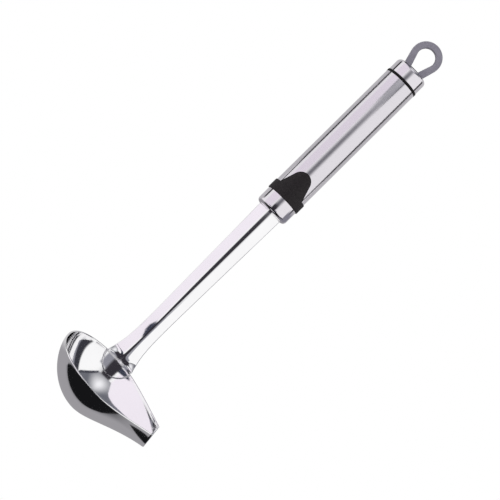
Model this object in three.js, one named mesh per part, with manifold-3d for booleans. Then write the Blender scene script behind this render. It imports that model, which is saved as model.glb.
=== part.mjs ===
// Gravy ladle: a pressed steel bowl with a side spout, welded to a polished strip shank that runs up
// into a hollow steel handle with a black thumb grip, a steel end cap and a moulded hanging loop.
// Millimetres. +Z runs up the handle to the loop, +X points to the spout, and the open side of the
// bowl and the thumb grip face -Y. The origin is the top of the loop's eye, where it bears on a hook.

import * as THREE from 'three';
import { mergeVertices } from 'three/addons/utils/BufferGeometryUtils.js';
import Module from 'manifold-3d';

// Fits
const fitGap = 0.3; // between pieces that nest in each other

// Bowl, measured from the centre of its round half in the plane of the rim
const bowlRadius = 31.5;
const bowlDepth = 25.9;
const bowlWall = 1;
const planFullness = 0.875; // below 1 the rim is a little squarer than a circle
const floorRise = 1.33; // above 1 the floor rises sooner towards the closed end
const rimTilt = THREE.MathUtils.degToRad(21); // the rim's normal leans forward from the handle's axis
const spoutDip = THREE.MathUtils.degToRad(3.2); // the rim falls towards the spout
const spoutReach = 42.2; // centre to lip, along the rim
const spoutHalfWidth = 8.25; // at the lip
const spoutDepth = 12.2; // at the lip
const spoutRake = Math.tan(THREE.MathUtils.degToRad(10)); // the lip runs forward below the rim
const shoulderRun = 10.4; // how far the round form carries on towards the spout
const throatStation = 20; // control point that draws the sides and the floor in to the spout
const throatHalfWidth = 25.2;
const throatDepth = 16.7;
const rimFlare = THREE.MathUtils.degToRad(9); // the sections are ovals cut off this far above their middle
const spoutFlare = THREE.MathUtils.degToRad(22); // and this far at the lip, so the walls open outwards

// Shank: a ridged strip, measured along its ridge from the front face of the handle
const shankThickness = 1.5;
const shankHalfWidth = 7.9; // where it leaves the handle
const neckHalfWidth = 6.45; // its narrowest place, just above the bend
const footHalfWidth = 9.8;
const footLift = 1; // the foot is widest this far above the rim
const shankCrown = 3.4; // height of the ridge over the edges at the handle
const neckCrown = 2.4;
const shankRidge = 2; // softness of the ridge, as a share of the half width
const neckRidge = 0.35;
const shankSeat = 2; // the ridge stands this far in front of the handle's axis
const bendStart = 84.4;
const bendRadius = 105;
const bendToRim = 16.6; // straight run between the bend and the rim
const ridgeRunOut = 5; // the ridge fades into the hollow foot over this length
const flareSharpness = 4;
const tabLength = 9.3; // the rounded foot's reach below the rim
const tabEndAngle = THREE.MathUtils.degToRad(80); // the foot's round end stops just short of its tip
const tangLength = 40; // inside the handle, with square shoulders on the handle's front face
const tangHalfWidth = 6;

// Handle, from the front face of its nose upwards
const tubeRadius = 10.8;
const sheetWall = 0.9; // tube, nose cap and end cap
const noseStep = 0.1; // the nose cap is this much smaller in radius than the tube
const noseLength = 10;
const noseCorner = 2.3;
const collarLength = 6.4;
const collarProud = 0.55; // the grip stands this far above the tube
const tubeLength = 90;
const ringThickness = 1.6;
const ringProud = 0.15;
const capStep = 0.15; // the end cap is this much smaller in radius than the tube
const capLength = 8.9;
const capCorner = 2.4;

// Thumb tongue of the grip, seen from the front
const tongueReach = 13.1; // beyond the collar
const tongueBaseHalfWidth = 8.4;
const tongueTipRadius = 5.7;
const tongueProud = 0.25;

// Plastic inserts inside the handle, and the pins that lock the tang and the loop in them
const insertCover = 8; // the inserts reach this far past the tang's and the tail's ends
const pinRadius = 1.5;
const pinSetBack = 6; // from the tang's end to its pin
const tailPinSetBack = 4; // from the tail's end to its pin

// Hanging loop, measured from the outside of the end cap
const eyeHeight = 10.8;
const eyeRadius = 5.55;
const loopBand = 4;
const loopThickness = 4;
const loopEdge = 0.45; // rounding of its edges
const fullestEdge = 0.42; // the rounding takes no more than this share of the thinnest bar
const legSpread = 7; // half the width of the legs at the cap
const legGap = 2.7; // half the space between them
const footBar = 1.2; // bar that joins the legs on top of the cap
const tailHalfWidth = 5.5;
const tailThickness = 3;
const tailLength = 15;

// Derived stations along the handle
const collarStart = noseLength;
const tubeStart = collarStart + collarLength;
const ringStart = tubeStart + tubeLength;
const capStart = ringStart + ringThickness;
const capEnd = capStart + capLength;
const eyeCentre = capEnd + eyeHeight;
const hookPoint = eyeCentre + eyeRadius;
const tailEnd = capEnd - tailLength;
const tangPinHeight = tangLength - pinSetBack;
const loopPinHeight = tailEnd + tailPinSetBack;

// Derived radii of the handle's nested pieces
const tubeBore = tubeRadius - sheetWall;
const noseRadius = tubeRadius - noseStep;
const noseBore = noseRadius - sheetWall;
const insertRadius = tubeBore - fitGap;
const noseSpigot = noseBore - fitGap;
const capRadius = tubeRadius - capStep;
const capBore = capRadius - sheetWall;
const capSpigot = capBore - fitGap;

// Facets
const roundSegments = 64;
const pinSegments = 20;
const cornerSteps = 4;
const curveSegments = 20;
const edgeSteps = 2;
const bowlRoundSteps = 14;
const bowlSpoutSteps = 16;
const bowlSectionSteps = 28;
const acrossSteps = 14;
const bladeSteps = 10;
const bendSteps = 6;
const footSteps = 14;
const tabSteps = 8;
const railHalvings = 24; // when a place on the spout's rail is looked up

const wasm = await Module();
wasm.setup();

// Closed solid from a three.js geometry, with shared vertices merged and flat triangles dropped
function solid(geometry) {
  const bare = geometry.clone();
  bare.deleteAttribute('normal');
  bare.deleteAttribute('uv');
  const merged = mergeVertices(bare);
  const index = merged.index.array;
  const triangles = [];
  for (let i = 0; i < index.length; i += 3) {
    const [a, b, c] = index.slice(i, i + 3);
    if (a !== b && b !== c && c !== a) triangles.push(a, b, c);
  }
  return new wasm.Manifold(new wasm.Mesh({
    numProp: 3,
    vertProperties: new Float32Array(merged.attributes.position.array),
    triVerts: new Uint32Array(triangles),
  }));
}

function geometryOf(body) {
  const { vertProperties, triVerts } = body.getMesh();
  const geometry = new THREE.BufferGeometry();
  geometry.setAttribute('position', new THREE.BufferAttribute(vertProperties, 3));
  geometry.setIndex(new THREE.BufferAttribute(triVerts, 1));
  geometry.computeVertexNormals();
  return geometry;
}

// Turned body about Z: the profile is a closed loop of [radius, height] points
function turned(profile) {
  const points = profile.map(([radius, height]) => new THREE.Vector2(radius, height));
  return solid(new THREE.LatheGeometry(points, roundSegments).rotateX(Math.PI / 2));
}

function turnedRing(innerRadius, outerRadius, bottom, top) {
  return turned([
    [innerRadius, bottom],
    [outerRadius, bottom],
    [outerRadius, top],
    [innerRadius, top],
    [innerRadius, bottom],
  ]);
}

function turnedPlug(steps) {
  const outline = steps.flatMap(({ radius, bottom, top }) => [[radius, bottom], [radius, top]]);
  return turned([[0, outline[0][1]], ...outline, [0, outline.at(-1)[1]]]);
}

// Quarter round between two heights of a turned profile
function quarterRound(centreRadius, centreHeight, radius, startAngle) {
  return Array.from({ length: cornerSteps + 1 }, (_, i) => {
    const angle = startAngle + (i / cornerSteps) * (Math.PI / 2);
    return [centreRadius + radius * Math.cos(angle), centreHeight + radius * Math.sin(angle)];
  });
}

// Prism of a shape drawn in X and Z, running back along Y from front to back
function prism(shape, front, back, bevel = 0) {
  const geometry = new THREE.ExtrudeGeometry(shape, {
    depth: back - front - 2 * bevel,
    curveSegments,
    bevelEnabled: bevel > 0,
    bevelThickness: bevel,
    bevelSize: bevel,
    bevelOffset: -bevel,
    bevelSegments: edgeSteps,
  });
  return geometry.rotateX(Math.PI / 2).translate(0, back - bevel, 0);
}

function crossPin(radius, halfLength, height) {
  return new THREE.CylinderGeometry(radius, radius, 2 * halfLength, pinSegments).translate(0, 0, height);
}

// Sheet between two grids of points with the same rows and columns, closed along its border.
// The first grid faces out along (next row) x (next column).
function sheet(outer, inner) {
  const rows = outer.length;
  const columns = outer[0].length;
  const points = [...outer.flat(), ...inner.flat()];
  const offset = rows * columns;
  const at = (row, column) => row * columns + column;
  const index = [];
  const quad = (a, b, c, d) => index.push(a, b, c, a, c, d);
  for (let i = 0; i + 1 < rows; i++) {
    for (let j = 0; j + 1 < columns; j++) {
      const corners = [at(i, j), at(i + 1, j), at(i + 1, j + 1), at(i, j + 1)];
      quad(...corners);
      quad(...corners.map((k) => k + offset).reverse());
    }
  }
  const wall = (a, b) => quad(b, a, a + offset, b + offset);
  for (let i = 0; i + 1 < rows; i++) {
    wall(at(i, 0), at(i + 1, 0));
    wall(at(i + 1, columns - 1), at(i, columns - 1));
  }
  for (let j = 0; j + 1 < columns; j++) {
    wall(at(0, j + 1), at(0, j));
    wall(at(rows - 1, j), at(rows - 1, j + 1));
  }
  const geometry = new THREE.BufferGeometry().setFromPoints(points);
  geometry.setIndex(index);
  return solid(geometry);
}

// Bowl. Its cross sections are ovals cut off above their middle: round up to the centre, then along a
// rail that holds station, half width and depth as it runs out to the lip.
function roundSection(station, inset) {
  const radius = bowlRadius - inset;
  const swell = Math.sqrt(1 - (station / radius) ** 2);
  return new THREE.Vector3(
    station,
    radius * swell ** planFullness,
    (bowlDepth - inset) * swell ** floorRise,
  );
}

function spoutRail(inset) {
  const radius = bowlRadius - inset;
  const depth = bowlDepth - inset;
  return new THREE.CubicBezierCurve3(
    new THREE.Vector3(0, radius, depth),
    new THREE.Vector3(shoulderRun, radius, depth),
    new THREE.Vector3(throatStation, throatHalfWidth - inset, throatDepth - inset),
    new THREE.Vector3(spoutReach, spoutHalfWidth - inset, spoutDepth - inset),
  );
}

function spoutSection(station, inset) {
  const rail = spoutRail(inset);
  let low = 0;
  let high = 1;
  for (let i = 0; i < railHalvings; i++) {
    const middle = (low + high) / 2;
    if (rail.getPoint(middle).x < station) low = middle;
    else high = middle;
  }
  return rail.getPoint(low);
}

// Half axes of a section's oval, how far its middle lies above the rim, and the angle where it is cut
function sectionOval({ x: station, y: halfWidth, z: depth }) {
  const run = (Math.max(station, 0) / spoutReach) ** 2;
  const flare = THREE.MathUtils.lerp(rimFlare, spoutFlare, run);
  const tall = depth / (1 - Math.sin(flare));
  return { wide: halfWidth / Math.cos(flare), tall, above: tall - depth, flare };
}

function bowlGrid(inset) {
  const round = Array.from({ length: bowlRoundSteps }, (_, i) => {
    const angle = (i / bowlRoundSteps) * (Math.PI / 2);
    return roundSection((inset - bowlRadius) * Math.cos(angle), inset);
  });
  const sections = [...round, ...spoutRail(inset).getPoints(bowlSpoutSteps)];
  return sections.map((section) => {
    const { wide, tall, above, flare } = sectionOval(section);
    const rake = spoutRake * (Math.max(section.x, 0) / spoutReach) ** 2;
    return Array.from({ length: bowlSectionSteps + 1 }, (_, j) => {
      const angle = THREE.MathUtils.lerp(flare, Math.PI - flare, j / bowlSectionSteps);
      const drop = tall * Math.sin(angle) - above;
      return new THREE.Vector3(section.x + rake * drop, wide * Math.cos(angle), -drop);
    });
  });
}

function bowl() {
  return sheet(bowlGrid(0), bowlGrid(bowlWall));
}

// Shank. Its ridge runs straight down from the handle, bends back once and runs on along the inside of
// the bowl's back wall; lean is the angle of the run from the handle's axis.
const wallBore = bowlRadius - bowlWall;
const wallOval = sectionOval(new THREE.Vector3(0, wallBore, bowlDepth - bowlWall));
const shankLean = wallLean(0);
const bendEnd = bendStart + bendRadius * shankLean;
const rimStation = bendEnd + bendToRim;
const footStation = rimStation - footLift;
const footStandOff = fitGap + shankThickness / 2;

// Lean of the bowl's back wall behind the ridge, below the rim
function wallLean(drop) {
  const share = (drop + wallOval.above) / wallOval.tall;
  return rimTilt - Math.atan2(wallOval.wide * share, wallOval.tall * Math.sqrt(1 - share ** 2));
}

// Inside of the bowl's back wall as the foot meets it: its distance behind the bowl's centre, beside
// the ridge and below the rim
function wallBack(beside, drop) {
  const station = beside * Math.cos(spoutDip) + drop * Math.sin(spoutDip);
  const below = drop * Math.cos(spoutDip) - beside * Math.sin(spoutDip);
  const section = station > 0 ? spoutSection(station, bowlWall) : roundSection(station, bowlWall);
  const { wide, tall, above } = sectionOval(section);
  return wide * Math.sqrt(1 - ((below + above) / tall) ** 2);
}

function ridgePoint(station) {
  if (station <= bendStart) return { y: -shankSeat, z: -station, lean: 0 };
  const lean = Math.min((station - bendStart) / bendRadius, shankLean);
  const point = {
    y: -shankSeat + bendRadius * (1 - Math.cos(lean)),
    z: -bendStart - bendRadius * Math.sin(lean),
    lean,
  };
  const straight = Math.min(station, rimStation) - bendEnd;
  if (straight > 0) {
    point.y += straight * Math.sin(shankLean);
    point.z -= straight * Math.cos(shankLean);
  }
  const drop = station - rimStation;
  if (drop > 0) {
    const inward = wallBore - wallBack(0, drop);
    point.y += drop * Math.sin(rimTilt) - inward * Math.cos(rimTilt);
    point.z -= drop * Math.cos(rimTilt) + inward * Math.sin(rimTilt);
    point.lean = wallLean(drop);
  }
  return point;
}

function shankHalf(station) {
  if (station > footStation) {
    return footHalfWidth * Math.sqrt(1 - ((station - footStation) / (footLift + tabLength)) ** 2);
  }
  const run = THREE.MathUtils.clamp(station / bendStart, 0, 1);
  const taper = THREE.MathUtils.lerp(shankHalfWidth, neckHalfWidth, run);
  const flare = Math.max(0, (station - bendStart) / (footStation - bendStart)) ** flareSharpness;
  return THREE.MathUtils.lerp(taper, footHalfWidth, flare);
}

// Fall of the section from its ridge: a hyperbola with a soft crest, 0 on the ridge and 1 at the edge
function ridgeFall(share, ridge) {
  return (Math.hypot(share, ridge) - ridge) / (Math.hypot(1, ridge) - ridge);
}

// How far the section stands forward of its ridge: it falls away to both edges on the blade and
// follows the bowl's wall on the foot
function sectionForward(station, beside) {
  const run = THREE.MathUtils.clamp(station / bendStart, 0, 1);
  const crown = THREE.MathUtils.lerp(shankCrown, neckCrown, run);
  const ridge = THREE.MathUtils.lerp(shankRidge, neckRidge, run);
  const blade = -crown * ridgeFall(beside / shankHalf(station), ridge);
  const hollow = THREE.MathUtils.smoothstep(station, footStation - ridgeRunOut, footStation);
  if (hollow === 0) return blade;
  const drop = Math.max(0, station - rimStation);
  return THREE.MathUtils.lerp(blade, wallBack(0, drop) - wallBack(beside, drop), hollow);
}

function shankFace(stations, offset, edge) {
  return stations.map((station) => {
    const { y, z, lean } = ridgePoint(station);
    const reach = edge(station);
    return Array.from({ length: acrossSteps + 1 }, (_, j) => {
      const beside = reach * ((2 * j) / acrossSteps - 1);
      const forward = offset + sectionForward(station, beside);
      return new THREE.Vector3(beside, y - forward * Math.cos(lean), z - forward * Math.sin(lean));
    });
  });
}

function shankSheet(stations, thickness, edge) {
  return sheet(shankFace(stations, thickness / 2, edge), shankFace(stations, -thickness / 2, edge));
}

function spaced(from, to, steps) {
  return Array.from({ length: steps }, (_, i) => THREE.MathUtils.lerp(from, to, i / steps));
}

function shank() {
  const tab = Array.from({ length: tabSteps + 1 }, (_, i) => {
    return footStation + (footLift + tabLength) * Math.sin((i / tabSteps) * tabEndAngle);
  });
  const stations = [
    -tangLength,
    0,
    ...spaced(fitGap, bendStart, bladeSteps),
    ...spaced(bendStart, bendEnd, bendSteps),
    ...spaced(bendEnd, footStation, footSteps),
    ...tab,
  ];
  const edge = (station) => (station > 0 ? shankHalf(station) : tangHalfWidth);
  const pinHole = crossPin(pinRadius + fitGap, tubeBore, tangPinHeight);
  return shankSheet(stations, shankThickness, edge).subtract(solid(pinHole));
}

// Room for the tang, from just outside the handle's front face to just above the tang's end
function tangRoom() {
  const stations = [-tangLength - fitGap, 0, shankThickness];
  return shankSheet(stations, shankThickness + 2 * fitGap, () => tangHalfWidth + fitGap);
}

// Nose cap: a cup with a rounded front and a slot for the shank
function noseCap() {
  const innerCorner = noseCorner - sheetWall;
  const cup = turned([
    [0, 0],
    ...quarterRound(noseRadius - noseCorner, noseCorner, noseCorner, -Math.PI / 2),
    [noseRadius, noseLength],
    [noseBore, noseLength],
    ...quarterRound(noseBore - innerCorner, noseCorner, innerCorner, -Math.PI / 2).reverse(),
    [0, sheetWall],
    [0, 0],
  ]);
  return cup.subtract(tangRoom());
}

// Front insert: the core that joins nose, grip and tube and holds the tang
function frontInsert() {
  const coreBottom = sheetWall + fitGap;
  const core = turnedPlug([
    { radius: noseSpigot - noseCorner, bottom: coreBottom, top: coreBottom },
    { radius: noseSpigot, bottom: noseCorner + fitGap, top: noseLength },
    { radius: insertRadius, bottom: noseLength, top: tangLength + insertCover },
  ]);
  const pinHole = crossPin(pinRadius + fitGap, tubeRadius, tangPinHeight);
  return core.subtract(tangRoom()).subtract(solid(pinHole));
}

// Outline of the thumb tongue with straight flanks into a round tip, grown evenly by a gap
function tongueShape(grow) {
  const tipCentre = tubeStart + tongueReach - tongueTipRadius;
  const tipRadius = tongueTipRadius + grow;
  const baseHalfWidth = tongueBaseHalfWidth + grow;
  const rise = tipCentre - tubeStart;
  const span = Math.hypot(baseHalfWidth, rise);
  const tangent = Math.acos(tipRadius / span) - Math.atan2(rise, baseHalfWidth);
  const shape = new THREE.Shape();
  shape.moveTo(-baseHalfWidth, collarStart + collarLength / 2);
  shape.lineTo(baseHalfWidth, collarStart + collarLength / 2);
  shape.lineTo(baseHalfWidth, tubeStart);
  shape.absarc(0, tipCentre, tipRadius, tangent, Math.PI - tangent);
  shape.lineTo(-baseHalfWidth, tubeStart);
  return shape;
}

function tonguePrism(grow) {
  return solid(prism(tongueShape(grow), -tubeRadius - Math.max(collarProud, tongueProud), 0));
}

// Thumb grip: a collar round the insert with a tongue let into the front of the tube
function thumbGrip() {
  const collar = turnedRing(tubeBore, tubeRadius + collarProud, collarStart, tubeStart);
  const tongueTop = tubeStart + tongueReach + fitGap;
  const sleeve = turnedRing(tubeBore, tubeRadius + tongueProud, collarStart, tongueTop);
  return collar.add(sleeve.intersect(tonguePrism(0)));
}

function handleTube() {
  const tube = turnedRing(tubeBore, tubeRadius, tubeStart, ringStart);
  return tube.subtract(tonguePrism(fitGap));
}

function spacerRing() {
  return turnedRing(tubeBore, tubeRadius + ringProud, ringStart, capStart);
}

// Hanging loop: a flat eye whose legs close in on the cap, on a tail that goes down inside it
function teardrop(shape, radius, baseHalfWidth, base) {
  const drop = eyeCentre - base;
  const tangent = Math.acos(radius / Math.hypot(baseHalfWidth, drop)) - Math.atan2(drop, baseHalfWidth);
  shape.moveTo(-baseHalfWidth, base);
  shape.lineTo(baseHalfWidth, base);
  shape.absarc(0, eyeCentre, radius, tangent, Math.PI - tangent);
  return shape;
}

function tailShape(grow) {
  const halfWidth = tailHalfWidth + grow;
  const bottom = tailEnd - grow;
  const top = capEnd + footBar / 2;
  const shape = new THREE.Shape();
  shape.moveTo(-halfWidth, bottom);
  shape.lineTo(halfWidth, bottom);
  shape.lineTo(halfWidth, top);
  shape.lineTo(-halfWidth, top);
  return shape;
}

function tailBlock(grow) {
  const half = tailThickness / 2 + grow;
  return solid(prism(tailShape(grow), -half, half));
}

function hangingLoop() {
  const outline = teardrop(new THREE.Shape(), eyeRadius + loopBand, legSpread, capEnd);
  outline.holes.push(teardrop(new THREE.Path(), eyeRadius, legGap, capEnd + footBar));
  const edge = Math.min(loopEdge, fullestEdge * Math.min(footBar, loopBand, loopThickness));
  const eye = solid(prism(outline, -loopThickness / 2, loopThickness / 2, edge));
  const pinHole = crossPin(pinRadius + fitGap, tubeRadius, loopPinHeight);
  return eye.add(tailBlock(0)).subtract(solid(pinHole));
}

// End cap: a cup with a rounded shoulder and a slot for the loop's tail
function endCap() {
  const innerCorner = capCorner - sheetWall;
  const shoulder = quarterRound(capRadius - capCorner, capEnd - capCorner, capCorner, 0);
  const lining = quarterRound(capBore - innerCorner, capEnd - capCorner, innerCorner, 0);
  const cup = turned([
    [capBore, capStart],
    [capRadius, capStart],
    ...shoulder,
    [0, capEnd],
    [0, capEnd - sheetWall],
    ...lining.reverse(),
    [capBore, capStart],
  ]);
  return cup.subtract(tailBlock(fitGap));
}

// Rear insert: the plug that carries the ring and the cap and holds the loop's tail
function rearInsert() {
  const plugTop = capEnd - sheetWall - fitGap;
  const plug = turnedPlug([
    { radius: insertRadius, bottom: Math.min(tailEnd, ringStart) - insertCover, top: capStart },
    { radius: capSpigot, bottom: capStart, top: capEnd - capCorner - fitGap },
    { radius: capSpigot - capCorner, bottom: plugTop, top: plugTop },
  ]);
  const pinHole = crossPin(pinRadius + fitGap, tubeRadius, loopPinHeight);
  return plug.subtract(tailBlock(fitGap)).subtract(solid(pinHole));
}

function lockingPin(height) {
  return solid(crossPin(pinRadius, insertRadius - fitGap, height));
}

function finish(name, color, roughness, metalness) {
  return new THREE.MeshStandardMaterial({ name, color, roughness, metalness });
}

const mirrorSteel = () => finish('mirror steel', 0xd8d6da, 0.06, 1);
const brushedSteel = () => finish('brushed steel', 0xc4c1c6, 0.3, 1);
const blackGrip = () => finish('black grip', 0x2b272a, 0.65, 0);
const greyMoulding = () => finish('grey moulding', 0x76737e, 0.55, 0);
const insertNylon = () => finish('insert nylon', 0x3a393c, 0.7, 0);
const pinSteel = () => finish('pin steel', 0xb0afb2, 0.35, 1);

const handleAxis = new THREE.Group();
handleAxis.position.z = -hookPoint;

function place(parent, name, body, material) {
  const mesh = new THREE.Mesh(geometryOf(body), material);
  mesh.name = name;
  parent.add(mesh);
}

// The bowl hangs on the shank's foot: its back wall lies just behind the ridge line at the rim
const rimPoint = ridgePoint(rimStation);
const footRadius = wallBore - footStandOff;
const bowlSeat = new THREE.Group();
bowlSeat.rotation.set(rimTilt, spoutDip, 0);
bowlSeat.position.set(
  0,
  rimPoint.y - footRadius * Math.cos(rimTilt),
  rimPoint.z - footRadius * Math.sin(rimTilt),
);
handleAxis.add(bowlSeat);

place(bowlSeat, 'bowl', bowl(), mirrorSteel());
place(handleAxis, 'shank', shank(), mirrorSteel());
place(handleAxis, 'nose_cap', noseCap(), brushedSteel());
place(handleAxis, 'front_insert', frontInsert(), insertNylon());
place(handleAxis, 'tang_pin', lockingPin(tangPinHeight), pinSteel());
place(handleAxis, 'thumb_grip', thumbGrip(), blackGrip());
place(handleAxis, 'handle_tube', handleTube(), brushedSteel());
place(handleAxis, 'spacer_ring', spacerRing(), blackGrip());
place(handleAxis, 'rear_insert', rearInsert(), insertNylon());
place(handleAxis, 'end_cap', endCap(), brushedSteel());
place(handleAxis, 'hanging_loop', hangingLoop(), greyMoulding());
place(handleAxis, 'loop_pin', lockingPin(loopPinHeight), pinSteel());

const ladle = new THREE.Group();
ladle.name = 'gravy_ladle';
ladle.add(handleAxis);

export default ladle;
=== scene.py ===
import math

import bmesh
import bpy
import numpy as np
from mathutils import Matrix


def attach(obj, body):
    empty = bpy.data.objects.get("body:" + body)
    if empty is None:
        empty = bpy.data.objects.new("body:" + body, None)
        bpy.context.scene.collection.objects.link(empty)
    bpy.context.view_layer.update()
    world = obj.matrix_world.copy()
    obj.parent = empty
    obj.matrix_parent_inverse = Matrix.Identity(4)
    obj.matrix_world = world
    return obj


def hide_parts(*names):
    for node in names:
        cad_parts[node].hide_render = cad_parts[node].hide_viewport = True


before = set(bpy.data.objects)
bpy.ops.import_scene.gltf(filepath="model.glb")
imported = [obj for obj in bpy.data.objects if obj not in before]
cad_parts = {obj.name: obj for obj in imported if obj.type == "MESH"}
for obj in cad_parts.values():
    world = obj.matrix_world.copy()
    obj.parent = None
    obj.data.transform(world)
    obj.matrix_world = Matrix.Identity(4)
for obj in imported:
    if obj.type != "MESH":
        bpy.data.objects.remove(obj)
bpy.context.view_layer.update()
MM = 0.001

# Sizes of the part, the same as in its solids, with lengths in millimetres and angles in radians
FIT = 0.3

# Bowl, from the centre of its round half, with the points that draw its sides and floor in to the spout
BOWL_R, BOWL_D, BOWL_WALL = 31.5, 25.9, 1.0
PLAN_FULL, FLOOR_RISE = 0.875, 1.33
TILT, DIP = math.radians(21), math.radians(3.2)
SPOUT_REACH, SPOUT_W, SPOUT_D = 42.2, 8.25, 12.2
SPOUT_RAKE = math.tan(math.radians(10))
SHOULDER, THROAT, THROAT_W, THROAT_D = 10.4, 20.0, 25.2, 16.7
RIM_FLARE, SPOUT_FLARE = math.radians(9), math.radians(22)

# Shank, a ridged strip measured along its ridge from the handle's front face
STRIP = 1.5
STRIP_W, NECK_W, FOOT_W, FOOT_LIFT = 7.9, 6.45, 9.8, 1.0
STRIP_CROWN, NECK_CROWN = 3.4, 2.4
STRIP_RIDGE, NECK_RIDGE = 2.0, 0.35
SEAT, BEND, BEND_R, BEND_TO_RIM = 2.0, 84.4, 105.0, 16.6
RIDGE_OUT, FLARE, TAB = 5.0, 4.0, 9.3
TANG, TANG_W = 40.0, 6.0

# Handle, from its front face upwards, with the thumb grip's tongue
TUBE_R, SHEET = 10.8, 0.9
NOSE_R, NOSE, NOSE_CORNER = 10.7, 10.0, 2.3
COLLAR, COLLAR_PROUD = 6.4, 0.55
TUBE, RING, RING_PROUD = 90.0, 1.6, 0.15
CAP_R, CAP, CAP_CORNER = 10.65, 8.9, 2.4
TONGUE, TONGUE_W, TONGUE_TIP, TONGUE_PROUD = 13.1, 8.4, 5.7, 0.25

# Hanging loop with the tail that holds it, and the cross pins
EYE_UP, EYE_R, LOOP_BAND, LOOP_T = 10.8, 5.55, 4.0, 4.0
LEG_W, LEG_GAP, FOOT_BAR = 7.0, 2.7, 1.2
TAIL_W, TAIL_T, TAIL = 5.5, 3.0, 15.0
PIN_R, TANG_PIN, TAIL_PIN = 1.5, 34.0, 4.0

# Roundings of edges in millimetres, and how far the bowl's skin lies inside its solid
SKIN = 0.04
RIM_EDGE, RIM_EDGE_DEPTH, LIP_EDGE = 0.4, 4.0, 0.4
STRIP_EDGE, TANG_EDGE = 0.5, 0.3
CUP_EDGE, CUP_BRIM = 0.15, 0.1
COLLAR_EDGE, TUBE_EDGE, RING_EDGE = 0.3, 0.12, 0.12
TONGUE_EDGE, TONGUE_POINT, POINT_EDGE_SHARE = 0.5, 0.02, 0.7
LOOP_EDGE, LOOP_EDGE_SHARE, TAIL_EDGE = 0.6, 0.42, 0.4

# How far the tail's cutter runs past the end cap, and the least half width that a share is taken of
CUT_OVER, LEAST_W = 1.0, 1e-6

# Places along the handle, measured from its front face
COLLAR_Z = NOSE
TUBE_Z = COLLAR_Z + COLLAR
RING_Z = TUBE_Z + TUBE
CAP_Z = RING_Z + RING
CAP_END = CAP_Z + CAP
TAIL_END = CAP_END - TAIL
EYE_Z = CAP_END + EYE_UP
HOOK = EYE_Z + EYE_R
BORE = TUBE_R - SHEET

# Stations along the shank, and the inside of the bowl's wall that its foot follows
WALL_R, WALL_D = BOWL_R - BOWL_WALL, BOWL_D - BOWL_WALL
WALL_RUN = WALL_R * math.tan(RIM_FLARE) * (1 - math.sin(RIM_FLARE))
LEAN = TILT - math.atan2(WALL_RUN, WALL_D * math.cos(RIM_FLARE))
BEND_END = BEND + BEND_R * LEAN
RIM = BEND_END + BEND_TO_RIM
FOOT = RIM - FOOT_LIFT

# Points nearer than the first become one, and edges shorter than the second go, in metres
WELD, SLIVER = 2e-7, 1e-8


def lerp(a, b, t):
    return a + (b - a) * t


def clamp(x):
    return min(max(x, 0.0), 1.0)


def smoothstep(x, a, b):
    t = clamp((x - a) / (b - a))
    return t * t * (3 - 2 * t)


# Meshes
def solid(name, verts, faces):
    """A closed body from points in millimetres, with heights from the handle's front face."""
    mesh = bpy.data.meshes.new(name)
    points = (np.asarray(verts, float) - (0, 0, HOOK)) * MM
    mesh.from_pydata(points.tolist(), [], faces)
    bm = bmesh.new()
    bm.from_mesh(mesh)
    bmesh.ops.remove_doubles(bm, verts=bm.verts, dist=WELD)
    bmesh.ops.dissolve_degenerate(bm, edges=bm.edges, dist=SLIVER)
    bmesh.ops.recalc_face_normals(bm, faces=bm.faces)
    if bm.calc_volume(signed=True) < 0:
        bmesh.ops.reverse_faces(bm, faces=bm.faces)
    for face in bm.faces:
        face.smooth = True
    bm.to_mesh(mesh)
    bm.free()
    body = bpy.data.objects.new(name, mesh)
    bpy.context.scene.collection.objects.link(body)
    return body


def make(name, verts, faces, slot, material, replaces):
    """A piece of the part, shown in place of one of its solids."""
    piece = solid(name, verts, faces)
    piece.data.materials.append(material)
    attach(piece, "root")
    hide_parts(replaces)
    return piece


def cut(piece, cutter, operation="DIFFERENCE"):
    """Applies a cut or a join and removes the second body."""
    mod = piece.modifiers.new("cut", "BOOLEAN")
    mod.operation = operation
    mod.solver = "EXACT"
    mod.object = cutter
    bpy.context.view_layer.objects.active = piece
    bpy.ops.object.modifier_apply(modifier="cut")
    mesh = cutter.data
    bpy.data.objects.remove(cutter)
    bpy.data.meshes.remove(mesh)


def soften(piece, angle=35):
    """Smooth shading that keeps the edges sharper than an angle in degrees."""
    for face in piece.data.polygons:
        face.use_smooth = True
    piece.data.set_sharp_from_angle(angle=math.radians(angle))


def loft(rings, cap_first=False, cap_last=False, closed=False):
    """Points and faces of a skin over rings of the same length."""
    rings = np.asarray(rings, float)
    n, m = rings.shape[:2]
    faces = []
    for i in range(n if closed else n - 1):
        k = (i + 1) % n
        for j in range(m):
            q = (j + 1) % m
            faces.append((i * m + j, i * m + q, k * m + q, k * m + j))
    if cap_first:
        faces.append(tuple(reversed(range(m))))
    if cap_last:
        faces.append(tuple(range((n - 1) * m, n * m)))
    return rings.reshape(-1, 3), faces


def bar(rings):
    """Points and faces of a skin with both ends closed."""
    return loft(rings, cap_first=True, cap_last=True)


def lathe(profile, segments=192):
    """Points and faces of a closed turned body; the profile is a loop of (radius, height)."""
    rings = []
    for i in range(segments):
        a = 2 * math.pi * i / segments
        rings.append([(r * math.cos(a), r * math.sin(a), z) for r, z in profile])
    return loft(rings, closed=True)


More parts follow.
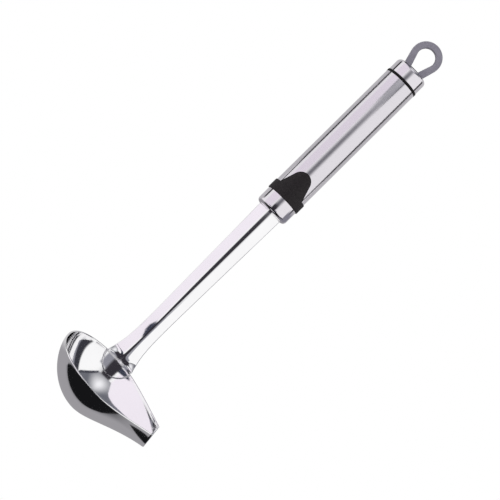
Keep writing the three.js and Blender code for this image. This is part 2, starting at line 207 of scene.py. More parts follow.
def rounded(corners, steps=6):
    """Closed profile whose corners (across, up, rounding) are turned into arcs."""
    points = []
    for i, (x, y, r) in enumerate(corners):
        if r == 0:
            points.append((x, y))
            continue
        here = np.array([x, y])
        before = np.array(corners[i - 1][:2]) - here
        after = np.array(corners[(i + 1) % len(corners)][:2]) - here
        before /= np.linalg.norm(before)
        after /= np.linalg.norm(after)
        half = math.acos(np.clip(before @ after, -1, 1)) / 2
        middle = (before + after) / np.linalg.norm(before + after)
        centre = here + middle * r / math.sin(half)
        first = here + before * r / math.tan(half) - centre
        last = here + after * r / math.tan(half) - centre
        start = math.atan2(first[1], first[0])
        turn = (math.atan2(last[1], last[0]) - start + math.pi) % (2 * math.pi) - math.pi
        for k in range(steps + 1):
            t = start + turn * k / steps
            points.append((centre[0] + r * math.cos(t), centre[1] + r * math.sin(t)))
    return points


def half_round(a, b, rise, steps=8):
    """Points between a and b on a half round that bulges by rise."""
    middle, half = (a + b) / 2, (a - b) / 2
    angles = [math.pi * k / steps for k in range(1, steps)]
    return [middle + half * math.cos(t) + rise * math.sin(t) for t in angles]


# Bowl
def rail(t, inset):
    """Station, half width and depth along the spout, on a cubic curve."""
    points = np.array([
        (0, BOWL_R - inset, BOWL_D - inset),
        (SHOULDER, BOWL_R - inset, BOWL_D - inset),
        (THROAT, THROAT_W - inset, THROAT_D - inset),
        (SPOUT_REACH, SPOUT_W - inset, SPOUT_D - inset),
    ])
    s = 1 - t
    return s ** 3 * points[0] + 3 * s * s * t * points[1] + 3 * s * t * t * points[2] + t ** 3 * points[3]


def bowl_section(station, inset, halvings=30):
    """Half width and depth of the bowl at a station."""
    if station <= 0:
        radius = BOWL_R - inset
        swell = math.sqrt(max(0.0, 1 - (station / radius) ** 2))
        return radius * swell ** PLAN_FULL, (BOWL_D - inset) * swell ** FLOOR_RISE
    low, high = 0.0, 1.0
    for _ in range(halvings):
        middle = (low + high) / 2
        if rail(middle, inset)[0] < station:
            low = middle
        else:
            high = middle
    return tuple(rail(low, inset)[1:])


def flared(station, width, depth):
    """Half axes of the section's oval, how far its centre lies above the rim, and where its arc starts."""
    flare = lerp(RIM_FLARE, SPOUT_FLARE, (max(station, 0) / SPOUT_REACH) ** 2)
    tall = depth / (1 - math.sin(flare))
    return width / math.cos(flare), tall, tall - depth, flare


def bowl_arc(row, edge, steps):
    """Section of one skin of the bowl, from rim to rim and below the rim's rounding."""
    station, width, depth = row
    wide, tall, above, flare = flared(station, width, depth)
    start = math.asin((edge + above) / tall) if depth > 0 else flare
    rake = SPOUT_RAKE * (max(station, 0) / SPOUT_REACH) ** 2
    arc = []
    for j in range(steps + 1):
        a = lerp(start, math.pi - start, j / steps)
        drop = tall * math.sin(a) - above
        arc.append((station + rake * drop, wide * math.cos(a), -drop))
    return np.array(arc)


def bowl_rows(round_steps=110, spout_steps=110):
    """Station, half width and depth of the outer and inner skin, from the round end to the lip."""
    skins = (SKIN, BOWL_WALL)
    rows = []
    for i in range(round_steps):
        a = i / round_steps * math.pi / 2
        stations = [(inset - BOWL_R) * math.cos(a) for inset in skins]
        rows.append([(s, *bowl_section(s, inset)) for s, inset in zip(stations, skins)])
    for i in range(spout_steps + 1):
        rows.append([tuple(rail(i / spout_steps, inset)) for inset in skins])
    return rows


def lip_rings(last, opposite, steps=8):
    """Rings that round the spout's lip, from its last section to the middle of the sheet."""
    middle = (last + last[opposite]) / 2
    rings = [last - (LIP_EDGE, 0, 0)]
    for k in range(1, steps + 1):
        t = math.pi / 2 * k / steps
        rings.append(middle + (last - middle) * math.cos(t) + (LIP_EDGE * (math.sin(t) - 1), 0, 0))
    return rings


def bowl_rings(section_steps=150, rim_steps=8):
    """Closed sections of the bowl's sheet, from the round end to the lip."""
    rings = []
    for outer, inner in bowl_rows():
        edge = RIM_EDGE * clamp(inner[2] / RIM_EDGE_DEPTH)
        out, inn = (bowl_arc(row, edge, section_steps) for row in (outer, inner))
        rise = np.array([0, 0, edge])
        far_rim = half_round(out[-1], inn[-1], rise, rim_steps)
        near_rim = half_round(inn[0], out[0], rise, rim_steps)
        rings.append(np.array([*out, *far_rim, *inn[::-1], *near_rim]))
    count = len(rings[-1])
    opposite = (2 * section_steps + rim_steps - np.arange(count)) % count
    return [*rings[:-1], *lip_rings(rings[-1], opposite)]


def bowl(material):
    ridge_y, ridge_z, _ = ridge_point(RIM)
    radius = WALL_R - FIT - STRIP / 2
    centre = (0, ridge_y - radius * math.cos(TILT), ridge_z - radius * math.sin(TILT))
    seat_turn = np.array(Matrix.Rotation(TILT, 3, "X") @ Matrix.Rotation(DIP, 3, "Y"))
    points, faces = loft(bowl_rings())
    make("bowl_shell", points @ seat_turn.T + centre, faces, "mirror_steel", material, "bowl")


# Shank
def wall_back(beside, drop):
    """Inside of the bowl's back wall as the foot meets it."""
    station = beside * math.cos(DIP) + drop * math.sin(DIP)
    below = drop * math.cos(DIP) - beside * math.sin(DIP)
    wide, tall, above, _ = flared(station, *bowl_section(station, BOWL_WALL))
    return wide * math.sqrt(1 - ((below + above) / tall) ** 2)


def ridge_point(station):
    """Depth, height and lean of the strip's middle at a station."""
    if station <= BEND:
        return -SEAT, -station, 0.0
    lean = min((station - BEND) / BEND_R, LEAN)
    straight = max(0.0, min(station, RIM) - BEND_END)
    y = -SEAT + BEND_R * (1 - math.cos(lean)) + straight * math.sin(LEAN)
    z = -BEND - BEND_R * math.sin(lean) - straight * math.cos(LEAN)
    drop = station - RIM
    if drop > 0:
        inward = WALL_R - wall_back(0, drop)
        y += drop * math.sin(TILT) - inward * math.cos(TILT)
        z -= drop * math.cos(TILT) + inward * math.sin(TILT)
        wide, tall, above, _ = flared(0, WALL_R, WALL_D)
        share = (drop + above) / tall
        lean = TILT - math.atan2(wide * share, tall * math.sqrt(1 - share ** 2))
    return y, z, lean


def strip_half(station):
    """Half width of the strip."""
    if station > FOOT:
        return FOOT_W * math.sqrt(max(0.0, 1 - ((station - FOOT) / (FOOT_LIFT + TAB)) ** 2))
    run = clamp(station / BEND)
    flare = max(0.0, (station - BEND) / (FOOT - BEND)) ** FLARE
    return lerp(lerp(STRIP_W, NECK_W, run), FOOT_W, flare)


def strip_forward(station, beside):
    """How far the strip stands forward of its ridge, which runs out into the hollow foot."""
    run = clamp(station / BEND)
    crown, ridge = lerp(STRIP_CROWN, NECK_CROWN, run), lerp(STRIP_RIDGE, NECK_RIDGE, run)
    share = beside / max(strip_half(station), LEAST_W)
    blade = -crown * (math.hypot(share, ridge) - ridge) / (math.hypot(1, ridge) - ridge)
    hollow = smoothstep(station, FOOT - RIDGE_OUT, FOOT)
    if hollow == 0:
        return blade
    drop = max(0.0, station - RIM)
    return lerp(blade, wall_back(0, drop) - wall_back(beside, drop), hollow)


def strip_ring(station, width, thickness, edge, steps=56):
    """Section of the strip with rounded edges."""
    y, z, lean = ridge_point(station)
    e = min(edge, width / 2)
    sides = []
    for offset in (thickness / 2, -thickness / 2):
        row = []
        for j in range(steps + 1):
            beside = (width - e) * (2 * j / steps - 1)
            forward = offset + strip_forward(station, beside)
            row.append((beside, y - forward * math.cos(lean), z - forward * math.sin(lean)))
        sides.append(np.array(row))
    front, back = sides
    right = half_round(front[-1], back[-1], np.array([e, 0, 0]))
    left = half_round(back[0], front[0], np.array([-e, 0, 0]))
    return [*front, *right, *back[::-1], *left]


def spaced(a, b, n):
    """Even steps from a towards b, without b."""
    return [lerp(a, b, i / n) for i in range(n)]


def shank_rings(blade_steps=60, bend_steps=40, neck_steps=90, foot_steps=60):
    """Sections of the shank from the end of its tang to the tip of its foot."""
    quarter = [math.sin(math.pi / 2 * i / foot_steps) for i in range(foot_steps + 1)]
    stations = [
        *spaced(FIT, BEND, blade_steps),
        *spaced(BEND, BEND_END, bend_steps),
        *spaced(BEND_END, FOOT, neck_steps),
        *[FOOT + (FOOT_LIFT + TAB) * share for share in quarter],
    ]
    tang = [strip_ring(s, TANG_W, STRIP, TANG_EDGE) for s in (-TANG, -TANG / 2, 0.0)]
    return tang + [strip_ring(s, strip_half(s), STRIP, STRIP_EDGE) for s in stations]


def pin_cutter(height, sides=32):
    """Room for a cross pin, front to back at a height."""
    radius = PIN_R + FIT
    angles = [2 * math.pi * i / sides for i in range(sides)]
    outline = [(radius * math.cos(a), height + radius * math.sin(a)) for a in angles]
    return solid("cutter", *bar([[(x, y, z) for x, z in outline] for y in (-TUBE_R, TUBE_R)]))


def shank(material):
    skin = loft(shank_rings(), cap_first=True)
    piece = make("shank_strip", *skin, "mirror_steel", material, "shank")
    cut(piece, pin_cutter(TANG_PIN))
    soften(piece)


# Nose cap
def nose_cap(material):
    inside = NOSE_R - SHEET
    profile = rounded([
        (0, 0, 0),
        (NOSE_R, 0, NOSE_CORNER),
        (NOSE_R, NOSE, CUP_EDGE),
        (inside, NOSE, CUP_BRIM),
        (inside, SHEET, NOSE_CORNER - SHEET),
        (0, SHEET, 0),
    ], steps=12)
    piece = make("nose_cup", *lathe(profile), "brushed_steel", material, "nose_cap")
    stations = (-TANG - FIT, 0.0, STRIP)
    room = [strip_ring(s, TANG_W + FIT, STRIP + 2 * FIT, TANG_EDGE) for s in stations]
    cut(piece, solid("cutter", *bar(room)))
    soften(piece)


# Thumb grip with its tongue, and the tube that the tongue is let into
def band(outer, low, high, edge, steps=6):
    """Profile of a sleeve over the bore with rounded outer edges."""
    return rounded([(BORE, low, 0), (outer, low, edge), (outer, high, edge), (BORE, high, 0)], steps)


def tongue_half(height, grow):
    """Half width of the tongue at a height above the tube's start."""
    tip_centre = TONGUE - TONGUE_TIP
    tip, base = TONGUE_TIP + grow, TONGUE_W + grow
    span = math.hypot(base, tip_centre)
    tangent = math.acos(tip / span) - math.atan2(tip_centre, base)
    touch_x, touch_z = tip * math.cos(tangent), tip_centre + tip * math.sin(tangent)
    if height <= 0:
        return base
    if height < touch_z:
        return lerp(base, touch_x, height / touch_z)
    return math.sqrt(max(0.0, tip ** 2 - (height - tip_centre) ** 2))


def tongue_heights(grow, steps=40):
    """Heights of the tongue's sections, from the middle of the collar to its tip."""
    tip_centre, tip = TONGUE - TONGUE_TIP, TONGUE_TIP + grow
    rise = [math.sin(math.pi / 2 * i / steps) for i in range(steps + 1)]
    return spaced(-COLLAR / 2, tip_centre, steps) + [tip_centre + tip * share for share in rise]


def tongue_ring(height, steps=48, edge_steps=6):
    """Closed section of the tongue across the handle, with its outer edges rounded."""
    outer = TUBE_R + TONGUE_PROUD
    width = max(tongue_half(height, 0), TONGUE_POINT)
    e = min(TONGUE_EDGE, POINT_EDGE_SHARE * width)
    front, inside, right = [], [], []
    for j in range(steps + 1):
        share = 2 * j / steps - 1
        x = (width - e) * share
        front.append((x, -math.sqrt(outer ** 2 - x ** 2)))
        x = -width * share
        inside.append((x, -math.sqrt(BORE ** 2 - x ** 2)))
    for k in range(1, edge_steps + 1):
        t = math.pi / 2 * k / edge_steps
        x = width - e + e * math.sin(t)
        right.append((x, -math.sqrt((outer - e * (1 - math.cos(t))) ** 2 - x ** 2)))
    left = [(-x, y) for x, y in reversed(right)]
    return [(x, y, TUBE_Z + height) for x, y in [*front, *right, *inside, *left]]


def tongue_cutter():
    """Room for the tongue in the front of the tube."""
    outline = [(tongue_half(h, FIT), TUBE_Z + h) for h in tongue_heights(FIT)]
    outline += [(-x, z) for x, z in reversed(outline[:-1])]
    return solid("cutter", *bar([[(x, y, z) for x, z in outline] for y in (-2 * TUBE_R, 0)]))


def thumb_grip(material):
    profile = band(TUBE_R + COLLAR_PROUD, COLLAR_Z, TUBE_Z, COLLAR_EDGE)
    piece = make("thumb_grip_moulding", *lathe(profile), "black_grip", material, "thumb_grip")
    tongue = bar([tongue_ring(h) for h in tongue_heights(0)])
    cut(piece, solid("tongue", *tongue), "UNION")
    soften(piece)


def handle_tube(material):
    profile = band(TUBE_R, TUBE_Z, RING_Z, TUBE_EDGE, steps=4)
    piece = make("handle_sleeve", *lathe(profile), "brushed_steel", material, "handle_tube")
    cut(piece, tongue_cutter())
    soften(piece)


# Spacer ring and end cap
def spacer_ring(material):
    profile = band(TUBE_R + RING_PROUD, RING_Z, CAP_Z, RING_EDGE)
    soften(make("spacer_band", *lathe(profile), "black_grip", material, "spacer_ring"))


def block(half_x, half_y, bottom, top):
    """Points and faces of an upright bar with the tail's rounded edges."""
    corners = [(-half_x, -half_y), (half_x, -half_y), (half_x, half_y), (-half_x, half_y)]
    profile = rounded([(x, y, TAIL_EDGE) for x, y in corners])
    return bar([[(x, y, z) for x, y in profile] for z in (bottom, top)])


def end_cap(material):
    inside = CAP_R - SHEET
    profile = rounded([
        (inside, CAP_Z, 0),
        (CAP_R, CAP_Z, CUP_EDGE),
        (CAP_R, CAP_END, CAP_CORNER),
        (0, CAP_END, 0),
        (0, CAP_END - SHEET, 0),
        (inside, CAP_END - SHEET, CAP_CORNER - SHEET),
    ], steps=12)
    piece = make("end_cup", *lathe(profile), "brushed_steel", material, "end_cap")
    room = block(TAIL_W + FIT, TAIL_T / 2 + FIT, TAIL_END - FIT, CAP_END + CUT_OVER)
    cut(piece, solid("cutter", *room))
    soften(piece)


# Hanging loop
def teardrop(radius, base_half, base, steps=14):
    """Outline of the loop from the middle of its base round the eye and back."""
    drop = EYE_Z - base
    tangent = math.acos(radius / math.hypot(base_half, drop)) - math.atan2(drop, base_half)
    middle, corner = np.array([0, base]), np.array([base_half, base])
    touch = np.array([radius * math.cos(tangent), EYE_Z + radius * math.sin(tangent)])
    right = [*spaced(middle, corner, steps), *spaced(corner, touch, 2 * steps)]
    arc = [lerp(tangent, math.pi - tangent, i / (4 * steps)) for i in range(4 * steps + 1)]
    eye = [np.array([radius * math.cos(a), EYE_Z + radius * math.sin(a)]) for a in arc]
    left = [p * (-1, 1) for p in reversed(right[1:])]
    return [*right, *eye, *left]


def loop_rings():
    """Sections of the loop's band, once round its eye."""
    outer = teardrop(EYE_R + LOOP_BAND, LEG_W, CAP_END)
    inner = teardrop(EYE_R, LEG_GAP, CAP_END + FOOT_BAR)
    half = LOOP_T / 2
    rings = []
    for out, inn in zip(outer, inner):
        length = np.linalg.norm(out - inn)
        along = (out - inn) / length
        e = min(LOOP_EDGE, LOOP_EDGE_SHARE * length)
        section = rounded([(0, -half, e), (length, -half, e), (length, half, e), (0, half, e)])
        places = [(inn + along * r, y) for r, y in section]
        rings.append([(p[0], y, p[1]) for p, y in places])
    return rings


def hanging_loop(material):
    skin = loft(loop_rings(), closed=True)
    piece = make("hanging_eye", *skin, "grey_moulding", material, "hanging_loop")
    tail = block(TAIL_W, TAIL_T / 2, TAIL_END, CAP_END + FOOT_BAR / 2)
    cut(piece, solid("tail", *tail), "UNION")
    cut(piece, pin_cutter(TAIL_END + TAIL_PIN))
    soften(piece)


# Materials
class Nodes:
    """A node material with its principled shader at hand."""

    def __init__(self, name):
        self.material = bpy.data.materials.new(name)
        self.material.use_nodes = True
        self.tree = self.material.node_tree
        self.shader = self.tree.nodes["Principled BSDF"]
        self.place = self.add("ShaderNodeTexCoord").outputs["Object"]

    def add(self, kind, inputs=(), **settings):
        node = self.tree.nodes.new(kind)
        for key, value in settings.items():
            setattr(node, key, value)
        for key, value in dict(inputs).items():
            self.put(node.inputs[key], value)
        return node

    def put(self, socket, value):
        if isinstance(value, bpy.types.NodeSocket):
            self.tree.links.new(value, socket)
        else:
            socket.default_value = value

    def feed(self, name, value):
        self.put(self.shader.inputs[name], value)

    def noise(self, scale, detail, stretch=(1, 1, 1), roughness=0.5):
        mapping = self.add("ShaderNodeMapping", {"Vector": self.place, "Scale": stretch})
        settings = {"Scale": scale, "Detail": detail, "Roughness": roughness}
        settings["Vector"] = mapping.outputs["Vector"]
        return self.add("ShaderNodeTexNoise", settings).outputs["Fac"]

    def ramp(self, value, low, high, span=(0.3, 0.7)):
        settings = {"Value": value, "To Min": low, "To Max": high}
        settings["From Min"], settings["From Max"] = span
        return self.add("ShaderNodeMapRange", settings).outputs["Result"]

    def colour(self, value, dark, light, span=(0.3, 0.7)):
        node = self.add("ShaderNodeMix", {"Factor": self.ramp(value, 0, 1, span)}, data_type="RGBA")
        node.inputs["A"].default_value = (*dark, 1)
        node.inputs["B"].default_value = (*light, 1)
        self.feed("Base Color", node.outputs["Result"])

    def rough(self, value, low, high, span=(0.3, 0.7)):
        self.feed("Roughness", self.ramp(value, low, high, span))

    def bump(self, value, strength, distance):
        settings = {"Height": value, "Strength": strength, "Distance": distance}
        self.feed("Normal", self.add("ShaderNodeBump", settings).outputs["Normal"])


def mirror_steel():
    n = Nodes("mirror_steel")
    n.feed("Metallic", 1.0)
    n.colour(n.noise(scale=60, detail=4), dark=(0.925, 0.92, 0.93), light=(0.955, 0.95, 0.96))
    n.rough(n.noise(scale=900, detail=5, stretch=(1, 1, 0.15)), low=0.055, high=0.095)
    n.bump(n.noise(scale=70, detail=2), strength=0.02, distance=0.0004)
    return n.material


def brushed_steel():
    n = Nodes("brushed_steel")
    streak = n.noise(scale=420, detail=5, stretch=(1, 1, 22), roughness=0.6)
    span = (0.35, 0.65)
    n.feed("Metallic", 1.0)
    n.colour(streak, dark=(0.715, 0.69, 0.73), light=(0.765, 0.74, 0.78), span=span)
    n.rough(streak, low=0.11, high=0.17, span=span)
    n.feed("Anisotropic", 0.3)
    tangent = n.add("ShaderNodeTangent", direction_type="RADIAL", axis="Z")
    n.feed("Tangent", tangent.outputs["Tangent"])
    n.bump(streak, strength=0.03, distance=0.00003)
    return n.material


def cup_steel():
    n = Nodes("cup_steel")
    streak = n.noise(scale=300, detail=4, stretch=(1, 1, 14))
    n.feed("Metallic", 1.0)
    n.colour(streak, dark=(0.74, 0.71, 0.75), light=(0.8, 0.775, 0.81))
    n.rough(n.noise(scale=900, detail=4), low=0.06, high=0.1)
    n.bump(n.noise(scale=240, detail=2), strength=0.02, distance=0.0001)
    return n.material


def black_grip():
    n = Nodes("black_grip")
    n.colour(n.noise(scale=900, detail=4), dark=(0.008, 0.0062, 0.0072), light=(0.015, 0.012, 0.0135))
    n.rough(n.noise(scale=2600, detail=3), low=0.5, high=0.66)
    n.feed("Specular IOR Level", 0.25)
    n.bump(n.noise(scale=4200, detail=2), strength=0.25, distance=0.00008)
    return n.material


def black_ring():
    n = Nodes("black_ring")
    n.colour(n.noise(scale=900, detail=4), dark=(0.0025, 0.002, 0.0024), light=(0.005, 0.004, 0.0045))
    n.rough(n.noise(scale=2600, detail=3), low=0.42, high=0.55)
    n.feed("Specular IOR Level", 0.15)
    return n.material


def grey_moulding():
    n = Nodes("grey_moulding")
    n.colour(n.noise(scale=420, detail=4), dark=(0.165, 0.156, 0.192), light=(0.195, 0.185, 0.225))
    n.rough(n.noise(scale=2400, detail=3), low=0.44, high=0.58)
    n.bump(n.noise(scale=3600, detail=2), strength=0.2, distance=0.00006)
    return n.material


def insert_nylon():
    n = Nodes("insert_nylon")
    n.colour(n.noise(scale=500, detail=3), dark=(0.036, 0.035, 0.038), light=(0.05, 0.048, 0.052))
    n.rough(n.noise(scale=1800, detail=3), low=0.55, high=0.7)
    return n.material


def pin_steel():
    n = Nodes("pin_steel")
    n.feed("Metallic", 1.0)
    n.colour(n.noise(scale=700, detail=3), dark=(0.42, 0.42, 0.43), light=(0.5, 0.5, 0.51))
    n.rough(n.noise(scale=900, detail=3, stretch=(1, 12, 1)), low=0.28, high=0.4)
    return n.material


def pale_floor():
    n = Nodes("pale_floor")
    n.colour(n.noise(scale=3, detail=3), dark=(0.9, 0.9, 0.905), light=(0.93, 0.93, 0.93))
    n.feed("Roughness", 0.8)
    return n.material


# Pieces, and materials for the hidden solids, which keep their shapes
polished, cupped = mirror_steel(), cup_steel()
bowl(polished)
shank(polished)
nose_cap(cupped)
thumb_grip(black_grip())
handle_tube(brushed_steel())
spacer_ring(black_ring())
end_cap(cupped)
hanging_loop(grey_moulding())

for material, names in (
    (insert_nylon(), ("front_insert", "rear_insert")),
    (pin_steel(), ("tang_pin", "loop_pin")),
):
    for name in names:
        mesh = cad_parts[name].data
        mesh.materials.clear()
        mesh.materials.append(material)

# Studio, in metres
BOWL_AT, BEND_AT = np.array([0, -0.02, -0.27]), np.array([0, 0, -0.235])
HANDLE_AT, LEFT_WALL_AT = np.array([0, 0, -0.07]), np.array([-0.02, -0.015, -0.266])
FLOOR_R, FLOOR_Z, FLOOR_SIDES = 1.9, -0.52, 96
ROOM_LIGHT, BACKGROUND = 0.72, 1.0
NO_FADE = 0.0001


def stage_object(name, verts, faces, material):
    """Something that belongs to the studio and not to the part."""
    mesh = bpy.data.meshes.new(name)
    mesh.from_pydata([tuple(v) for v in verts], [], faces)
    mesh.materials.append(material)
    piece = bpy.data.objects.new(name, mesh)
    bpy.context.scene.collection.objects.link(piece)
    return piece


def floor():
    angles = [2 * math.pi * i / FLOOR_SIDES for i in range(FLOOR_SIDES)]
    outline = [(FLOOR_R * math.cos(a), FLOOR_R * math.sin(a), FLOOR_Z) for a in angles]
    piece = stage_object("floor", outline, [tuple(range(FLOOR_SIDES))], pale_floor())
    piece.visible_glossy = False


# Cards, which show in reflections only
def card_material(name, grey, soft_side, soft_end):
    """One even grey that fades out at the borders; the map runs 0 to 1 across and along the card."""
    mat = bpy.data.materials.new(name)
    mat.use_nodes = True
    tree = mat.node_tree
    tree.nodes.clear()

    def add(kind, **settings):
        node = tree.nodes.new(kind)
        for key, value in settings.items():
            setattr(node, key, value)
        return node

    uv = add("ShaderNodeUVMap", uv_map="card")
    split = add("ShaderNodeSeparateXYZ")
    tree.links.new(uv.outputs["UV"], split.inputs["Vector"])
    both = add("ShaderNodeMath", operation="MULTIPLY")
    for i, (axis, soft) in enumerate((("X", soft_side), ("Y", soft_end))):
        ping = add("ShaderNodeMath", operation="PINGPONG")
        ping.inputs[1].default_value = 0.5
        tree.links.new(split.outputs[axis], ping.inputs[0])
        fade = add("ShaderNodeMapRange", interpolation_type="SMOOTHSTEP")
        fade.inputs["From Max"].default_value = soft
        tree.links.new(ping.outputs[0], fade.inputs["Value"])
        tree.links.new(fade.outputs["Result"], both.inputs[i])
    glow = add("ShaderNodeEmission")
    glow.inputs["Color"].default_value = (*grey, 1)
    clear = add("ShaderNodeBsdfTransparent")
    mix = add("ShaderNodeMixShader")
    tree.links.new(both.outputs[0], mix.inputs["Fac"])
    tree.links.new(clear.outputs[0], mix.inputs[1])
    tree.links.new(glow.outputs[0], mix.inputs[2])
    out = add("ShaderNodeOutputMaterial")
    tree.links.new(mix.outputs[0], out.inputs["Surface"])
    return mat


def card(name, points, grey, soft_side, soft_end):
    """Card over a grid of points; soft_side and soft_end are the shares of it that fade at each border."""
    n, m = points.shape[:2]
    faces, uvs = [], []
    for i in range(n):
        for j in range(m):
            uvs.append((i / (n - 1), j / (m - 1)))
            if i < n - 1 and j < m - 1:
                k = i * m + j
                faces.append((k, k + 1, k + m + 1, k + m))
    material = card_material(name, grey, soft_side, soft_end)
    piece = stage_object(name, points.reshape(-1, 3), faces, material)
    layer = piece.data.uv_layers.new(name="card")
    for item in piece.data.loops:
        layer.data[item.index].uv = uvs[item.vertex_index]
    piece.visible_camera = False
    piece.visible_diffuse = False
    piece.visible_shadow = False


def about_y_way(around, back):
    """Direction by the turn about +Y from +X towards +Z, and the angle towards +Y, in degrees."""
    a, b = math.radians(around), math.radians(back)
    return np.array([math.cos(a) * math.cos(b), math.sin(b), math.sin(a) * math.cos(b)])


def facing_way(across, rise):
    """Direction by the angle from -Y towards +X and the angle above the level, in degrees."""
    a, b = math.radians(across), math.radians(rise)
    return np.array([math.sin(a) * math.cos(b), -math.cos(a) * math.cos(b), math.sin(b)])


def dome(place, distance, way, first, second, steps):
    """Points round a place over the ranges of two angles."""
    share = [i / steps for i in range(steps + 1)]
    ways = [[way(lerp(*first, u), lerp(*second, v)) for v in share] for u in share]
    return place + distance * np.array(ways)


def about_y(place, distance, around, back, steps=40):
    return dome(place, distance, about_y_way, around, back, steps)


def facing(place, distance, across, rise, steps=24):
    return dome(place, distance, facing_way, across, rise, steps)


def between(place, distance, left, right, steps=32):
    """Points round a place from one line of (across, rise) to another with as many pairs."""
    left, right = np.array(left, float), np.array(right, float)
    along = np.linspace(0, len(left) - 1, steps + 1)
    ways = []
    for i in range(steps + 1):
        line = lerp(left, right, i / steps)
        angles = [np.interp(along, range(len(line)), line[:, k]) for k in (0, 1)]
        ways.append([facing_way(*pair) for pair in zip(*angles)])
    return place + distance * np.array(ways)


def flat(corners, steps=8):
    """Points of a plane card between four corners, two along each side."""
    low_left, low_right, high_right, high_left = (np.array(c, float) for c in corners)
    share = [i / steps for i in range(steps + 1)]
    lines = [(lerp(low_left, low_right, u), lerp(high_left, high_right, u)) for u in share]
    return np.array([[lerp(low, high, v) for v in share] for low, high in lines])


def window_below(place, depth, widen=1.0, steps=64):
    """Level grid below a place, with curved edges drawn for a depth of 1."""
    far_x = [-1.17, -0.84, -0.36, 0, 0.36, 0.58, 0.7, 0.84, 1.0, 1.12]
    far_y = [0.25, 0.325, 0.385, 0.38, 0.43, 0.4, 0.3, 0.19, 0.1, 0]
    near_x = [-1.17, -1.11, -0.97, -0.84, -0.7, -0.45, 0.45, 1.0, 1.12]
    near_y = [0.08, -0.07, -0.22, -0.36, -0.6, -1.4, -1.4, -0.9, -0.1]
    grid = []
    for i in range(steps + 1):
        x = lerp(far_x[0], far_x[-1], i / steps)
        far, near = np.interp(x, far_x, far_y), np.interp(x, near_x, near_y)
        grid.append([(x, lerp(near, far, j / steps), -1) for j in range(steps + 1)])
    return place + np.array(grid) * (widen, widen, 1) * depth


def beside_lip(distance=60):
    """Plane grid beside the spout, drawn in millimetres from its lip."""
    lip = np.array([42, -45, -278])
    way, across, along = np.array([[0.582, 0.326, -0.745], [-0.788, 0, -0.616], [-0.201, 0.945, 0.257]])
    corners = [(-45, 0), (0, 0), (4, 19), (-45, 48)]
    return flat([lip + way * distance + across * u + along * v for u, v in corners]) * MM


def table_cards():
    """Greys of the outside of the bowl and of the tube's edges."""
    whole = about_y(HANDLE_AT, distance=2.2, around=(0, 360), back=(20, 89.9), steps=72)
    card("card_table", whole, grey=(0.6, 0.595, 0.605), soft_side=NO_FADE, soft_end=0.03)
    low = about_y(BOWL_AT, distance=2.0, around=(188, 352), back=(8, 89.9))
    card("card_table_low", low, grey=(0.34, 0.332, 0.35), soft_side=0.12, soft_end=0.03)
    front = about_y(BOWL_AT, distance=2.1, around=(203, 333), back=(-32, 30))
    card("card_table_front", front, grey=(0.33, 0.325, 0.34), soft_side=0.05, soft_end=0.08)


def handle_cards():
    """Dark lines along both sides of the tube."""
    for name, around in (("card_side_right", (1, 30)), ("card_side_left", (150, 179))):
        side = about_y(HANDLE_AT, distance=1.6, around=around, back=(7.5, 23))
        card(name, side, grey=(0.02, 0.02, 0.024), soft_side=0.06, soft_end=0.12)


def outside_cards():
    """Dark crescent on the outside of the bowl with a soft shade round it, and the patch by its lip."""
    black = (0.008, 0.008, 0.009)
    card("card_low", window_below(BOWL_AT, depth=1.2), black, soft_side=0.03, soft_end=0.025)
    shade = window_below(BOWL_AT, depth=1.32, widen=1.5)
    card("card_low_shade", shade, grey=(0.1, 0.1, 0.108), soft_side=0.3, soft_end=0.2)
    card("card_lip", beside_lip(), black, soft_side=0.02, soft_end=0.03)


def shank_cards():
    """Dark lens in the foot with its grey side, the grey ahead of the handle, and the leaf at the bend."""
    lens = facing(BOWL_AT, distance=0.35, across=(-20, 15), rise=(-27, 30.5))
    card("card_lens", lens, grey=(0.035, 0.032, 0.04), soft_side=0.16, soft_end=0.06)
    lens_side = facing(BOWL_AT, distance=0.37, across=(8, 31), rise=(-24, 15))
    card("card_lens_side", lens_side, grey=(0.28, 0.28, 0.32), soft_side=0.2, soft_end=0.15)
    stripe = facing(HANDLE_AT, distance=1.3, across=(-26, 24), rise=(-4, 20))
    card("card_stripe", stripe, grey=(0.2, 0.2, 0.22), soft_side=0.45, soft_end=0.1)
    leaf = [(-17, -18.6), (-33, -15.5), (-47, -11), (-48, -7), (-34, -2.5)]
    flag = between(BEND_AT, distance=1.25, left=leaf, right=[(-5, rise) for _, rise in leaf])
    card("card_flag", flag, grey=(0.045, 0.05, 0.075), soft_side=0.15, soft_end=0.18)


def roof_cards():
    """Grey zone in the floor of the bowl, with its dark fold on the right and its bright middle."""
    start = [(-27, 26.5), (-31, 31), (-36, 36), (-42, 41.5), (-48, 46), (-56, 49.5), (-75, 53), (-75, 76)]
    end = [(19.5, 26.5), (24, 30.5), (32, 36), (40, 40.5), (50, 44.5), (62, 47.5), (80, 50)]
    inner = [(15.5, 29.5), (19, 35), (27, 41), (36, 46), (48, 50), (62, 53), (80, 55)]
    roof = between(BOWL_AT, distance=1.4, left=start, right=[*end, (100, 76)])
    card("card_roof", roof, grey=(0.15, 0.155, 0.18), soft_side=0.03, soft_end=0.02)
    fold = between(BOWL_AT, distance=1.15, left=end, right=inner)
    card("card_roof_fold", fold, grey=(0.035, 0.036, 0.052), soft_side=0.4, soft_end=0.05)
    glow = facing(BOWL_AT, distance=1.2, across=(-55, 42), rise=(17, 81))
    card("card_roof_glow", glow, grey=(0.95, 0.95, 0.97), soft_side=0.5, soft_end=0.5)
    beyond = facing(BOWL_AT, distance=1.45, across=(-100, -50), rise=(52, 80))
    card("card_roof_left", beyond, grey=(0.16, 0.16, 0.2), soft_side=0.05, soft_end=0.05)


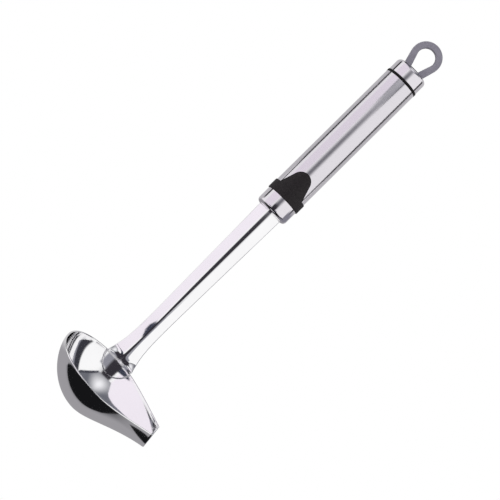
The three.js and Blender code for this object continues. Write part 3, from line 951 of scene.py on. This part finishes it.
def wall_cards():
    """Dark band on the left wall of the bowl, the dark overhead, and the tinted white on the left."""
    near = [(71, -9), (74, 8), (77.5, 24), (81, 36), (86, 53)]
    far = [(104, -5), (104, 8), (104, 24), (106, 36), (110, 50)]
    dusk = between(LEFT_WALL_AT, distance=0.15, left=near, right=far)
    card("card_dusk", dusk, grey=(0.04, 0.04, 0.05), soft_side=0.2, soft_end=0.06)
    dusk_side = facing(LEFT_WALL_AT, distance=0.17, across=(90, 140), rise=(-15, 62))
    card("card_dusk_side", dusk_side, grey=(0.26, 0.26, 0.3), soft_side=0.1, soft_end=0.06)
    overhead = facing(BOWL_AT, distance=1.6, across=(95, 265), rise=(50, 89))
    card("card_overhead", overhead, grey=(0.05, 0.05, 0.06), soft_side=0.06, soft_end=0.06)
    white = facing(BOWL_AT, distance=2.6, across=(-80, -24), rise=(-35, 62))
    card("card_left_wall", white, grey=(0.92, 0.865, 0.935), soft_side=0.06, soft_end=0.06)


# Light
def studio_world():
    """White where the camera or a mirror sees it, and softer where it lights the part."""
    world = bpy.data.worlds.new("studio")
    bpy.context.scene.world = world
    world.use_nodes = True
    tree = world.node_tree
    paths = tree.nodes.new("ShaderNodeLightPath")
    seen = paths.outputs["Is Camera Ray"]
    for ray in ("Is Glossy Ray", "Is Transmission Ray"):
        either = tree.nodes.new("ShaderNodeMath")
        either.operation = "MAXIMUM"
        tree.links.new(seen, either.inputs[0])
        tree.links.new(paths.outputs[ray], either.inputs[1])
        seen = either.outputs[0]
    strength = tree.nodes.new("ShaderNodeMapRange")
    strength.inputs["To Min"].default_value = ROOM_LIGHT
    strength.inputs["To Max"].default_value = BACKGROUND
    background = tree.nodes["Background"]
    background.inputs["Color"].default_value = (1, 1, 1, 1)
    tree.links.new(seen, strength.inputs["Value"])
    tree.links.new(strength.outputs["Result"], background.inputs["Strength"])


def turned(right, up, back, place):
    """Matrix of something that stands at a place and looks away from back."""
    turn = Matrix(np.array([right, up, back]).T.tolist()).to_4x4()
    return Matrix.Translation(place) @ turn


def lamp(name, place, size, power):
    """Round soft lamp aimed at the handle."""
    data = bpy.data.lights.new(name, "AREA")
    data.shape = "DISK"
    data.size = size
    data.energy = power
    piece = bpy.data.objects.new(name, data)
    bpy.context.scene.collection.objects.link(piece)
    back = np.array(place) - HANDLE_AT
    back /= np.linalg.norm(back)
    right = np.cross([0, 0, 1.0], back)
    right /= np.linalg.norm(right)
    piece.matrix_world = turned(right, np.cross(back, right), back, place)
    piece.visible_glossy = False


# Camera at the photograph's place, rolled so that the handle runs up to the right
AZ, EL, ROLL = math.radians(0.6), math.radians(-4.68), math.radians(45.267)
AIM, DISTANCE = np.array([0.007298, 0, -0.156767]), 1.4
FOCUS_PX, IMAGE_PX, SENSOR = 2437.63, 500, 36
NEAREST, FARTHEST = 0.05, 20


def photo_camera():
    forward = np.array([math.sin(AZ) * math.cos(EL), math.cos(AZ) * math.cos(EL), -math.sin(EL)])
    level = np.cross(forward, [0, 0, 1])
    level /= np.linalg.norm(level)
    over = np.cross(level, forward)
    right = level * math.cos(ROLL) + over * math.sin(ROLL)
    up = over * math.cos(ROLL) - level * math.sin(ROLL)
    camera = bpy.data.objects.new("camera", bpy.data.cameras.new("camera"))
    bpy.context.scene.collection.objects.link(camera)
    camera.data.sensor_width = SENSOR
    camera.data.lens = SENSOR * FOCUS_PX / IMAGE_PX
    camera.data.clip_start = NEAREST
    camera.data.clip_end = FARTHEST
    camera.matrix_world = turned(right, up, -forward, AIM - DISTANCE * forward)
    bpy.context.scene.camera = camera


# Putting up the studio
table_cards()
handle_cards()
outside_cards()
shank_cards()
roof_cards()
wall_cards()
floor()
studio_world()
lamp("key", (0.9, -1.1, 0.7), size=0.6, power=9)
lamp("fill", (-1.1, -0.9, 0.3), size=0.8, power=5)
photo_camera()
bpy.context.scene.view_settings.view_transform = "Standard"
